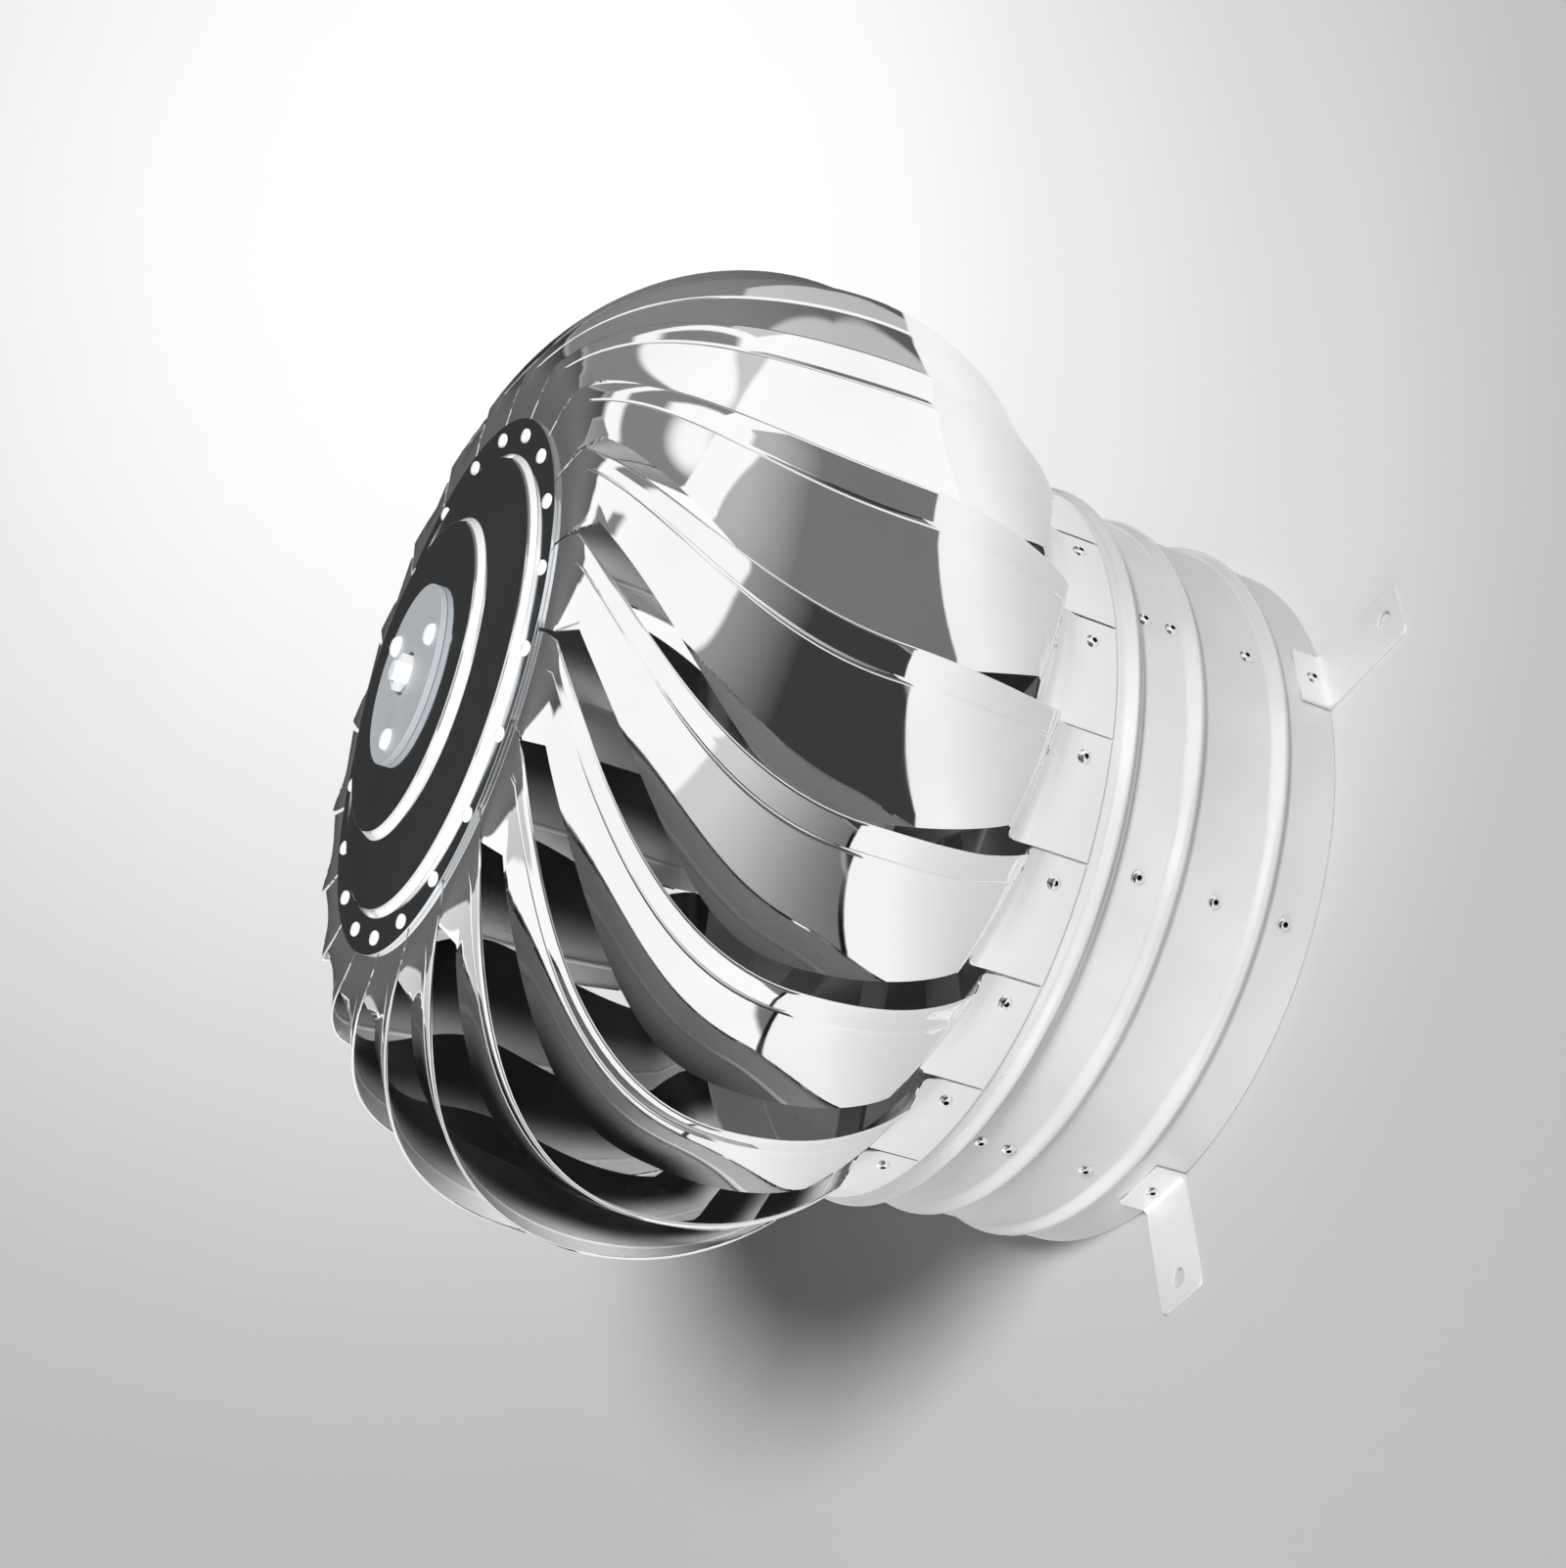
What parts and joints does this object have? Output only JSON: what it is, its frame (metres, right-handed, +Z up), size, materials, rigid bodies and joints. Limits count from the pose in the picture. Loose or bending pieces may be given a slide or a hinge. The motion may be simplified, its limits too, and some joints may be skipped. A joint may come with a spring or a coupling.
{
  "type": "roof turbine ventilator",
  "caption": "Wind-driven roof ventilator: a domed rotor of swept polished blades turns on a fixed spindle above a beaded round neck with bolt-down feet.",
  "frame": {"origin": "centre of the neck's lower end, in the plane of the undersides of the feet", "axes": "+Z up along the spindle from the roof to the cap; the lap seam faces -Y and the feet lie between X and Y"},
  "size_m": [0.4056, 0.4056, 0.3395],
  "materials": {
    "mirror_sheet": "mirror polished stainless sheet",
    "bright_sheet": "bright rolled stainless sheet, a little softer than the blades",
    "strap_steel": "brushed flat bar",
    "turned_steel": "turned and ground",
    "rivet_alloy": "bright rivet heads",
    "cast_alloy": "smooth grey alloy"
  },
  "bodies": {
    "base": {"neck_tube": "bright_sheet", "foot_1": "bright_sheet", "foot_2": "bright_sheet", "foot_3": "bright_sheet", "foot_4": "bright_sheet", "foot_rivets": "rivet_alloy", "strap_rivets": "rivet_alloy", "seam_rivets": "rivet_alloy", "strap_lower": "strap_steel", "strap_upper": "strap_steel", "spindle": "turned_steel", "spindle_nuts": "turned_steel", "spindle_washers": "turned_steel", "bearing_inner_rings": "turned_steel"},
    "rotor": {"rotor_ring": "bright_sheet", "blade_01": "mirror_sheet", "blade_02": "mirror_sheet", "blade_03": "mirror_sheet", "blade_04": "mirror_sheet", "blade_05": "mirror_sheet", "blade_06": "mirror_sheet", "blade_07": "mirror_sheet", "blade_08": "mirror_sheet", "blade_09": "mirror_sheet", "blade_10": "mirror_sheet", "blade_11": "mirror_sheet", "blade_12": "mirror_sheet", "blade_13": "mirror_sheet", "blade_14": "mirror_sheet", "blade_15": "mirror_sheet", "blade_16": "mirror_sheet", "blade_17": "mirror_sheet", "blade_18": "mirror_sheet", "blade_19": "mirror_sheet", "blade_20": "mirror_sheet", "ring_rivets": "rivet_alloy", "cap_plate": "mirror_sheet", "cap_rivets": "rivet_alloy", "upper_housing": "cast_alloy", "hub_screws": "rivet_alloy", "lower_spider": "strap_steel", "bearing_outer_rings": "turned_steel"}
  },
  "joints": [
    {"name": "rotor_spin", "type": "hinge", "parent": "base", "child": "rotor", "pos_m": [0, 0, 0.215], "axis": [0, 0, 1], "continuous": true}
  ]
}
